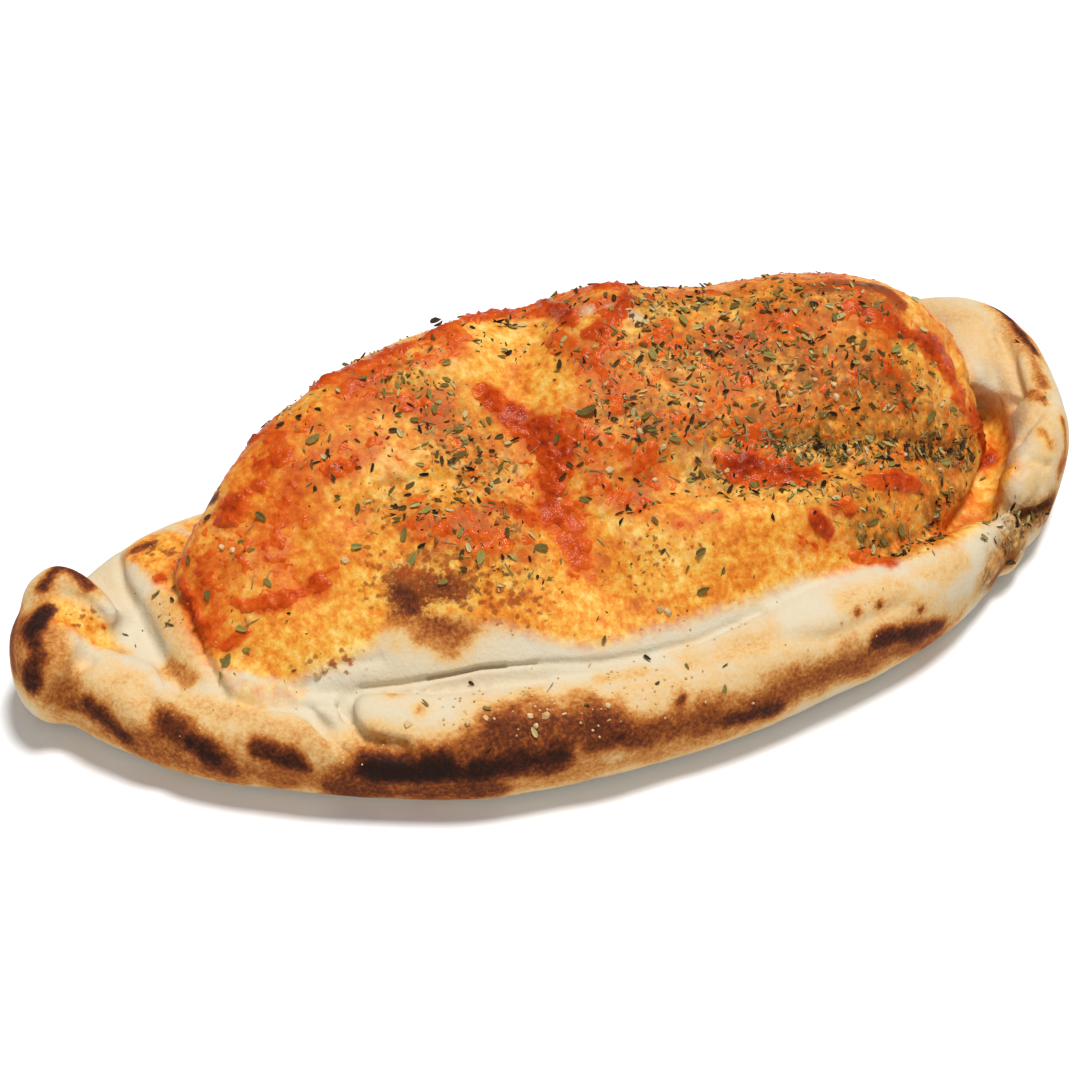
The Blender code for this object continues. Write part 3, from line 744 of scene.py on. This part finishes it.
# Baked dough: floured cream at its palest, then gold, tan, brown and burnt; yellow and orange where soaked.
CRUST_STOPS = [
    (0.0, (0.58, 0.54, 0.42)), (0.15, (0.60, 0.50, 0.34)), (0.28, (0.64, 0.41, 0.17)),
    (0.4, (0.50, 0.21, 0.05)), (0.52, (0.31, 0.085, 0.016)), (0.66, (0.13, 0.03, 0.009)),
    (0.82, (0.045, 0.012, 0.006)), (1.0, (0.018, 0.008, 0.006)),
]
SOAKED_STOPS = [
    (0.37, (0.78, 0.53, 0.16)), (0.46, (0.72, 0.36, 0.05)), (0.54, (0.66, 0.21, 0.02)),
    (0.64, (0.46, 0.10, 0.012)),
]
SAUCE_STOPS = [
    (0.32, (0.66, 0.17, 0.016)), (0.48, (0.57, 0.09, 0.008)), (0.66, (0.46, 0.052, 0.004)),
    (0.9, (0.24, 0.018, 0.003)),
]
BLISTER_BROWN, HERB_STAIN = (0.26, 0.05, 0.007, 1), (0.18, 0.062, 0.011, 1)
FRECKLE_SIZE = 2.1


def wandering(tree):
    """Slow and fine noise together, around zero, for edges that are never clean."""
    return added(tree, swing(tree, grain(tree, 16), 0.5), swing(tree, grain(tree, 2.2, 4), 0.42))


def sauce_red(tree, wander):
    depth = added(tree, scaled(tree, paint(tree, "sauce"), 0.55), scaled(tree, wander, 1.7))
    return ramp(tree, added(tree, depth, 0.18), SAUCE_STOPS)


crust, tree, shader = new_material("baked_crust", gloss=0.1)
toast_paint, oil_paint, sauce_paint = (paint(tree, name) for name in ("toast", "oil", "sauce"))
herb_paint, blister_paint = paint(tree, "herbed"), paint(tree, "blisters")
fine, speck, wander = grain(tree, 2.2, 4), grain(tree, 0.8, 2), wandering(tree)

# The crust from pale to burnt, mottled most where it is browned.
mottle = added(tree, swing(tree, grain(tree, 1.1, 4, rough=0.7), 0.7), scaled(tree, wander, 0.6))
mottle = sums(tree, "MULTIPLY", mottle, added(tree, toast_paint, 0.12))
toasting = added(tree, added(tree, toast_paint, 0.02), mottle)
colour = ramp(tree, toasting, CRUST_STOPS)

# Oil and cheese soaked into it, hidden again where it is burnt.
fibre = grain(tree, 2.6, 6, (1.0, 0.8, 1.0), 0.66)
soak_tone = added(tree, scaled(tree, fibre, 0.62), scaled(tree, grain(tree, 20, 2), 0.36))
soak_share = eased(tree, added(tree, oil_paint, scaled(tree, wander, 0.7)), 0.2, 0.8)
unburnt = sums(tree, "SUBTRACT", 1.0, eased(tree, toasting, 0.36, 0.6))
soaked = ramp(tree, soak_tone, SOAKED_STOPS)
colour = mixed(tree, sums(tree, "MULTIPLY", soak_share, unburnt), colour, soaked)

# Brown freckles where the blisters are.
on_piece = wired(tree, "ShaderNodeTexCoord").outputs["Object"]
spots = wired(tree, "ShaderNodeTexVoronoi", {"Vector": on_piece, "Scale": 1 / (FRECKLE_SIZE * MM)})
ragged = added(tree, spots.outputs["Distance"], swing(tree, grain(tree, 1.6, 3), 1.5))
freckle = eased(tree, sums(tree, "SUBTRACT", scaled(tree, blister_paint, 0.5), ragged), -0.2, 0.16)
freckle = sums(tree, "MULTIPLY", freckle, eased(tree, blister_paint, 0.05, 0.3))
colour = mixed(tree, scaled(tree, freckle, 0.8), colour, BLISTER_BROWN)

# The film of sauce, and the brown that the herbs leave.
film = eased(tree, added(tree, sauce_paint, scaled(tree, wander, 1.1)), 0.22, 0.72)
colour = mixed(tree, scaled(tree, film, 0.88), colour, sauce_red(tree, wander))
stain = sums(tree, "MULTIPLY", herb_paint, eased(tree, grain(tree, 2.4, 5), 0.34, 0.6))
colour = mixed(tree, scaled(tree, stain, 0.74), colour, HERB_STAIN)
tree.links.new(colour, shader.inputs["Base Color"])

# Dull where it is bare and a little shiny where it is oily or sauced, with a fine grain.
wet = sums(tree, "MAXIMUM", scaled(tree, soak_share, 0.75), film)
dull = sums(tree, "SUBTRACT", 0.72, scaled(tree, wet, 0.36))
tree.links.new(added(tree, dull, scaled(tree, speck, 0.12)), shader.inputs["Roughness"])
relief = added(tree, scaled(tree, fine, 0.7), scaled(tree, speck, 0.3))
roughened(tree, shader, relief, 0.6, 0.7)
dough.data.materials.append(crust)
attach(dough, "root")
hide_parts("calzone")

# Tomato sauce. Cooked crushed tomato, brushed on before baking: a thin wet layer with grains and lumps of
# pulp, up to two millimetres high where it is thick. It is a skin lifted off the dough's own surface.
SAUCE_EDGE, SAUCE_RISE, SAUCE_SINK, SAUCE_TOP = 0.62, 2.4, 0.55, 2
SAUCE_LEAST, SAUCE_SKIN, SAUCE_KEPT = -0.06, 0.9, 0.42
COVER_WAVES, PULP_WAVES = ((0.34, 3.4, 13), (0.26, 1.5, 14)), ((0.7, 1.3, 11), (0.35, 4.5, 12))


def pulp_cover(piece):
    """How far the sauce at each vertex is above the limit where it stands up, broken up by noise."""
    points = coordinates(piece.data)
    amount = np.zeros(len(points), np.float32)
    piece.data.attributes["sauce"].data.foreach_get("value", amount)
    return amount + ripples(points, COVER_WAVES) - SAUCE_EDGE


def lifted_patch(name, piece, amount, least):
    """A copy of the faces where an amount, one for each vertex, reaches a limit, split twice as fine."""
    bm = bmesh.new()
    bm.from_mesh(piece.data)
    spare = [f for f in bm.faces if max(amount[v.index] for v in f.verts) < least]
    bmesh.ops.delete(bm, geom=spare, context="FACES")
    bmesh.ops.subdivide_edges(bm, edges=bm.edges[:], cuts=1, use_grid_fill=True)
    return linked(name, as_mesh(bm, name))


pulp = lifted_patch("tomato_sauce", dough, pulp_cover(dough), SAUCE_LEAST)
points, normals = coordinates(pulp.data), coordinates(pulp.data, "normal")
cover = np.clip(pulp_cover(pulp), -0.4, 0.5)
lumps = 0.8 + ripples(points, PULP_WAVES)
rise = np.where(cover > 0, cover * SAUCE_RISE * lumps + 0.06, cover * 3 - 0.02)
rise = np.clip(rise, -SAUCE_SINK, SAUCE_TOP) * MM
pulp.data.vertices.foreach_set("co", (points + normals * rise[:, None]).ravel())
modified(pulp, "SOLIDIFY", thickness=SAUCE_SKIN * MM, offset=-1.0)
modified(pulp, "DECIMATE", ratio=SAUCE_KEPT)
pulp.data.shade_smooth()
pulp_red, tree, shader = new_material("tomato_pulp", 0.15, 0.12)
tree.links.new(sauce_red(tree, wandering(tree)), shader.inputs["Base Color"])
roughened(tree, shader, grain(tree, 0.9, 3), 0.5, 0.6)
pulp.data.materials.append(pulp_red)
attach(pulp, "root")

# Dried herbs. Rubbed oregano and basil, strewn by hand and thickest on the right half of the top: leaves
# and scraps of leaf, each a thin curled flake lying a little askew in the oil. The larger ones are placed
# one by one: pixel x and y, and a length in millimetres.
BIG_LEAVES = [
    (587, 412, 6.4), (540, 548, 4.6), (412, 560, 5.4), (565, 305, 4.6), (683, 322, 4.4),
    (437, 321, 4.6), (930, 417, 4.4), (872, 522, 4.4), (900, 530, 4), (882, 540, 3.6), (227, 661, 4.2),
    (208, 596, 3.8), (262, 517, 4), (313, 440, 4.6), (480, 558, 4.4), (585, 500, 3.2), (558, 440, 3.4),
    (700, 552, 3.6), (703, 591, 3.8), (652, 355, 4), (675, 440, 3.6), (640, 360, 3.2), (770, 357, 4),
    (895, 350, 4), (863, 345, 3.6), (960, 445, 4.6), (945, 462, 4), (830, 465, 3.6), (755, 487, 4),
    (362, 380, 3.6), (435, 410, 3.4), (458, 430, 3.4), (460, 455, 4), (425, 512, 4), (405, 535, 4),
    (357, 547, 3.4), (242, 630, 3.4), (268, 583, 3.2), (190, 560, 3), (157, 595, 3), (443, 582, 3),
    (983, 538, 3.2), (1010, 562, 3.6), (487, 709, 2.6), (471, 683, 2), (604, 640, 2.4), (900, 555, 3.4),
    (560, 365, 3.2), (690, 480, 3),
]
STANDING_LEAF = (437, 326)
HERB_COUNT, SCRAP_SHAPES = 3300, 7
# A leaf's width and thickness for its length, and the lengths of scraps: least, more at most, bias.
LEAF_WIDTHS, SCRAP_WIDTHS, LEAF_THICK = (0.42, 0.56), (0.2, 0.52), 0.12
SCRAP_LEAST, SCRAP_MORE, SCRAP_BIAS, WHOLE_ABOVE = 0.8, 2.5, 2.2, 2.6
LEAF_TONES = (0.15, 0.4, 0.5, 0.55, 0.65)
LEAF_STOPS = [
    (0.05, (0.022, 0.011, 0.006)), (0.25, (0.075, 0.04, 0.012)), (0.45, (0.14, 0.10, 0.022)),
    (0.65, (0.24, 0.20, 0.05)), (0.9, (0.46, 0.39, 0.17)),
]
# Strewing: tries at a time, the height and the box they fall from, how steep a skin still holds a scrap,
# the share that lies away from the strokes, and the y and height from which the back has its own share.
STREW_TRIES, STREW_FROM, STREW_BOX = 6000, 0.2, (-0.15, 0.16, -0.075, 0.075)
STREW_STEEP, STREW_REST, STREW_BACK = 0.15, 0.001, (0.035, 0.05)
LYING = Matrix.Rotation(math.pi / 2, 3, "Y")


def leaf_shape(name, whole, rng):
    """A curled leaf or a scrap of one, a unit long, before it is stretched to its size."""
    bm = bmesh.new()
    if whole:
        bmesh.ops.create_uvsphere(bm, u_segments=8, v_segments=4, radius=0.5)
        bmesh.ops.rotate(bm, verts=bm.verts, cent=(0, 0, 0), matrix=LYING)
    else:
        bmesh.ops.create_icosphere(bm, subdivisions=1, radius=0.5)
    curl, fold = rng.uniform(-0.3, 0.6), rng.uniform(0.05, 0.35)
    for v in bm.verts:
        if not whole:
            v.co *= 1 + rng.uniform(-0.35, 0.35)
        v.co.y *= 1 - 0.5 * v.co.x
        v.co.z = v.co.z * LEAF_THICK + curl * v.co.x**2 + fold * abs(v.co.y)
    mesh = as_mesh(bm, name)
    mesh.attributes.new("tone", "FLOAT", "POINT")
    return mesh


def laid(bm, shape, place, normal, size, tilt_deg, lift, tone, rng):
    """Adds a copy of a small shape, turned at random and tilted on the skin, with its own tone."""
    copy = shape.copy()
    lie = normal.to_track_quat("Z", "Y").to_matrix().to_4x4()
    lie = lie @ Matrix.Rotation(rng.uniform(0, math.tau), 4, "Z")
    lean = Matrix.Rotation(math.radians(rng.gauss(0, tilt_deg)), 4, "Y")
    lean = lean @ Matrix.Rotation(math.radians(rng.gauss(0, tilt_deg)), 4, "X")
    stretch = Matrix.Diagonal((size[0] * MM, size[1] * MM, size[2] * MM, 1))
    copy.transform(Matrix.Translation(place + normal * lift * MM) @ lie @ lean @ stretch)
    if "tone" in copy.attributes:
        copy.attributes["tone"].data.foreach_set("value", [tone] * len(copy.vertices))
    bm.from_mesh(copy)
    bpy.data.meshes.remove(copy)


def strewn_places(skin, strokes, count, rng, behind=0.0):
    """Places on the skin, drawn at random and kept as often as the strokes ask."""
    lines = [(line_seen(skin, line), radius * MM, strength) for line, radius, strength in strokes]
    most = max(strength for _, _, strength in lines)
    found = []
    while len(found) < count:
        batch = []
        for _ in range(STREW_TRIES):
            start = Vector((rng.uniform(*STREW_BOX[:2]), rng.uniform(*STREW_BOX[2:]), STREW_FROM))
            place, normal, _, _ = skin.ray_cast(start, Vector((0, 0, -1)))
            if place is not None and normal.z > STREW_STEEP:
                batch.append((place, normal))
        spots = np.array([place for place, _ in batch])
        share = np.full(len(spots), STREW_REST)
        for line, radius, strength in lines:
            near = distance_to_line(spots, line) / radius
            share = np.maximum(share, strength * np.exp(-(near**2)))
        on_back = (spots[:, 1] > STREW_BACK[0]) * (spots[:, 2] > STREW_BACK[1])
        share = np.maximum(share, behind * on_back)
        found += [spot for spot, chance in zip(batch, share) if rng.random() * most < chance]
    return found[:count]


rng = random.Random(5)
skin = skin_of(dough)
leaves = [leaf_shape("leaf", True, rng) for _ in range(SCRAP_SHAPES)]
scraps = [leaf_shape("scrap", False, rng) for _ in range(SCRAP_SHAPES)]
herb_bm = bmesh.new()
for px, py, length in BIG_LEAVES:
    size = (length, length * rng.uniform(*LEAF_WIDTHS), length)
    tone = rng.choice(LEAF_TONES)
    laid(herb_bm, rng.choice(leaves), *spot_seen(skin, px, py), size, 12, 0.3, tone, rng)
laid(herb_bm, leaves[0], *spot_seen(skin, *STANDING_LEAF), (5, 2.6, 5), 50, 1.8, 0.1, rng)
for place, normal in strewn_places(skin, HERBS, HERB_COUNT, rng, behind=0.22):
    length = SCRAP_LEAST + SCRAP_MORE * rng.random() ** SCRAP_BIAS
    size = (length, length * rng.uniform(*SCRAP_WIDTHS), length)
    shape = rng.choice(leaves if length > WHOLE_ABOVE else scraps)
    tone = min(1, max(0, rng.gauss(0.42, 0.32)))
    laid(herb_bm, shape, place, normal, size, 20, 0.12 + 0.05 * length, tone, rng)
herbs = linked("herb_leaves", as_mesh(herb_bm, "herb_leaves"))
leaf_green, tree, shader = new_material("dried_leaf", 0.65, 0.1)
tone = added(tree, paint(tree, "tone"), swing(tree, grain(tree, 0.7, 2), 0.3))
tree.links.new(ramp(tree, tone, LEAF_STOPS), shader.inputs["Base Color"])
herbs.data.materials.append(leaf_green)
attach(herbs, "root")

# Herb stalks. Bits of dried stalk that come with the rubbed leaves: short straight straws, thinner than a
# pin, lying among them.
STALK_COUNT, STALK_LENGTHS, STALK_WIDTHS = 180, (1.8, 4.4), (0.24, 0.4)
stick_bm = bmesh.new()
bmesh.ops.create_cone(stick_bm, cap_ends=True, segments=6, radius1=0.5, radius2=0.36, depth=1)
bmesh.ops.rotate(stick_bm, verts=stick_bm.verts, cent=(0, 0, 0), matrix=LYING)
stick = as_mesh(stick_bm, "stick")
stalk_bm = bmesh.new()
for place, normal in strewn_places(skin, HERBS, STALK_COUNT, rng):
    thick = rng.uniform(*STALK_WIDTHS)
    laid(stalk_bm, stick, place, normal, (rng.uniform(*STALK_LENGTHS), thick, thick), 7, 0.3, 0, rng)
stalks = linked("herb_stalks", as_mesh(stalk_bm, "herb_stalks"))
straw, tree, shader = new_material("dried_stalk", 0.7)
straw_stops = [(0.35, (0.10, 0.06, 0.025)), (0.65, (0.34, 0.25, 0.12))]
tree.links.new(ramp(tree, grain(tree, 5, 2), straw_stops), shader.inputs["Base Color"])
stalks.data.materials.append(straw)
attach(stalks, "root")

# Crumbs. Pale garlic granules baked into the top, and coarse grains of the semolina that keeps the dough
# from sticking, left on the crust.
GRANULES = [
    (663, 447), (640, 432), (815, 380), (834, 384), (836, 397), (842, 408), (233, 550), (222, 547),
    (455, 488), (470, 492), (655, 480), (610, 470), (700, 405), (560, 500), (500, 480), (345, 560),
    (325, 668), (318, 675), (660, 610), (668, 612), (850, 452), (905, 455), (940, 470), (760, 400),
    (790, 395), (727, 470), (470, 608), (468, 723), (486, 718), (530, 716), (536, 726), (546, 716),
    (408, 724), (608, 706),
]
SEMOLINA = [
    ([(470, 720), (560, 705), (650, 690)], 12, 1), ([(170, 745), (330, 770), (520, 750)], 14, 0.45),
    ([(700, 700), (850, 650)], 14, 0.4), ([(560, 640), (700, 620)], 12, 0.4),
    ([(100, 700), (60, 700)], 8, 0.35),
]
SEMOLINA_COUNT, SEMOLINA_SIZES, GRANULE_SIZES = 150, (0.4, 0.8), (1.3, 2.2)
grain_bm = bmesh.new()
bmesh.ops.create_icosphere(grain_bm, subdivisions=1, radius=0.5)
for v in grain_bm.verts:
    v.co *= 1 + rng.uniform(-0.22, 0.22)
grit = as_mesh(grain_bm, "grit")
crumb_bm = bmesh.new()
for px, py in GRANULES:
    size = rng.uniform(*GRANULE_SIZES)
    laid(crumb_bm, grit, *spot_seen(skin, px, py), (size * 1.2, size, size * 0.7), 20, 0.2, 0, rng)
for place, normal in strewn_places(skin, SEMOLINA, SEMOLINA_COUNT, rng):
    size = rng.uniform(*SEMOLINA_SIZES)
    laid(crumb_bm, grit, place, normal, (size * 1.2, size, size * 0.8), 20, 0.1, 0, rng)
crumbs = linked("crumbs", as_mesh(crumb_bm, "crumbs"))
crumb_pale, tree, shader = new_material("pale_crumb", 0.55)
crumb_stops = [(0.35, (0.42, 0.22, 0.08)), (0.6, (0.62, 0.43, 0.20))]
tree.links.new(ramp(tree, grain(tree, 6, 2), crumb_stops), shader.inputs["Base Color"])
crumbs.data.materials.append(crumb_pale)
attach(crumbs, "root")

# Studio. A plain white table, one soft light from high on the right, and a weaker one from the front left
# that leaves no gleam on the sauce.
floor_bm = bmesh.new()
bmesh.ops.create_grid(floor_bm, x_segments=1, y_segments=1, size=3)
floor = linked("table_top", as_mesh(floor_bm, "table_top"))
floor.location.z = -0.3 * MM
white, _, shader = new_material("white_table", 0.8)
shader.inputs["Base Color"].default_value = (0.9, 0.9, 0.9, 1)
floor.data.materials.append(white)

sky = bpy.data.worlds.new("studio")
scene.world = sky
sky.use_nodes = True
background = sky.node_tree.nodes["Background"]
background.inputs["Color"].default_value = (1, 1, 1, 1)
background.inputs["Strength"].default_value = 0.24


def soft_light(name, kind, place, power, **shape):
    lamp = bpy.data.lights.new(name, kind)
    lamp.energy = power
    for key, value in shape.items():
        setattr(lamp, key, value)
    made = linked(name, lamp)
    made.location = place
    made.rotation_euler = (LOOK_AT - made.location).to_track_quat("-Z", "Y").to_euler()
    return made


soft_light("key", "SUN", Vector((0.25, 0.1, 1.15)), 3.55, angle=0.3)
fill = soft_light("fill", "AREA", Vector((-0.6, -1.0, 0.7)), 4.5, shape="DISK", size=0.8)
fill.visible_glossy = False
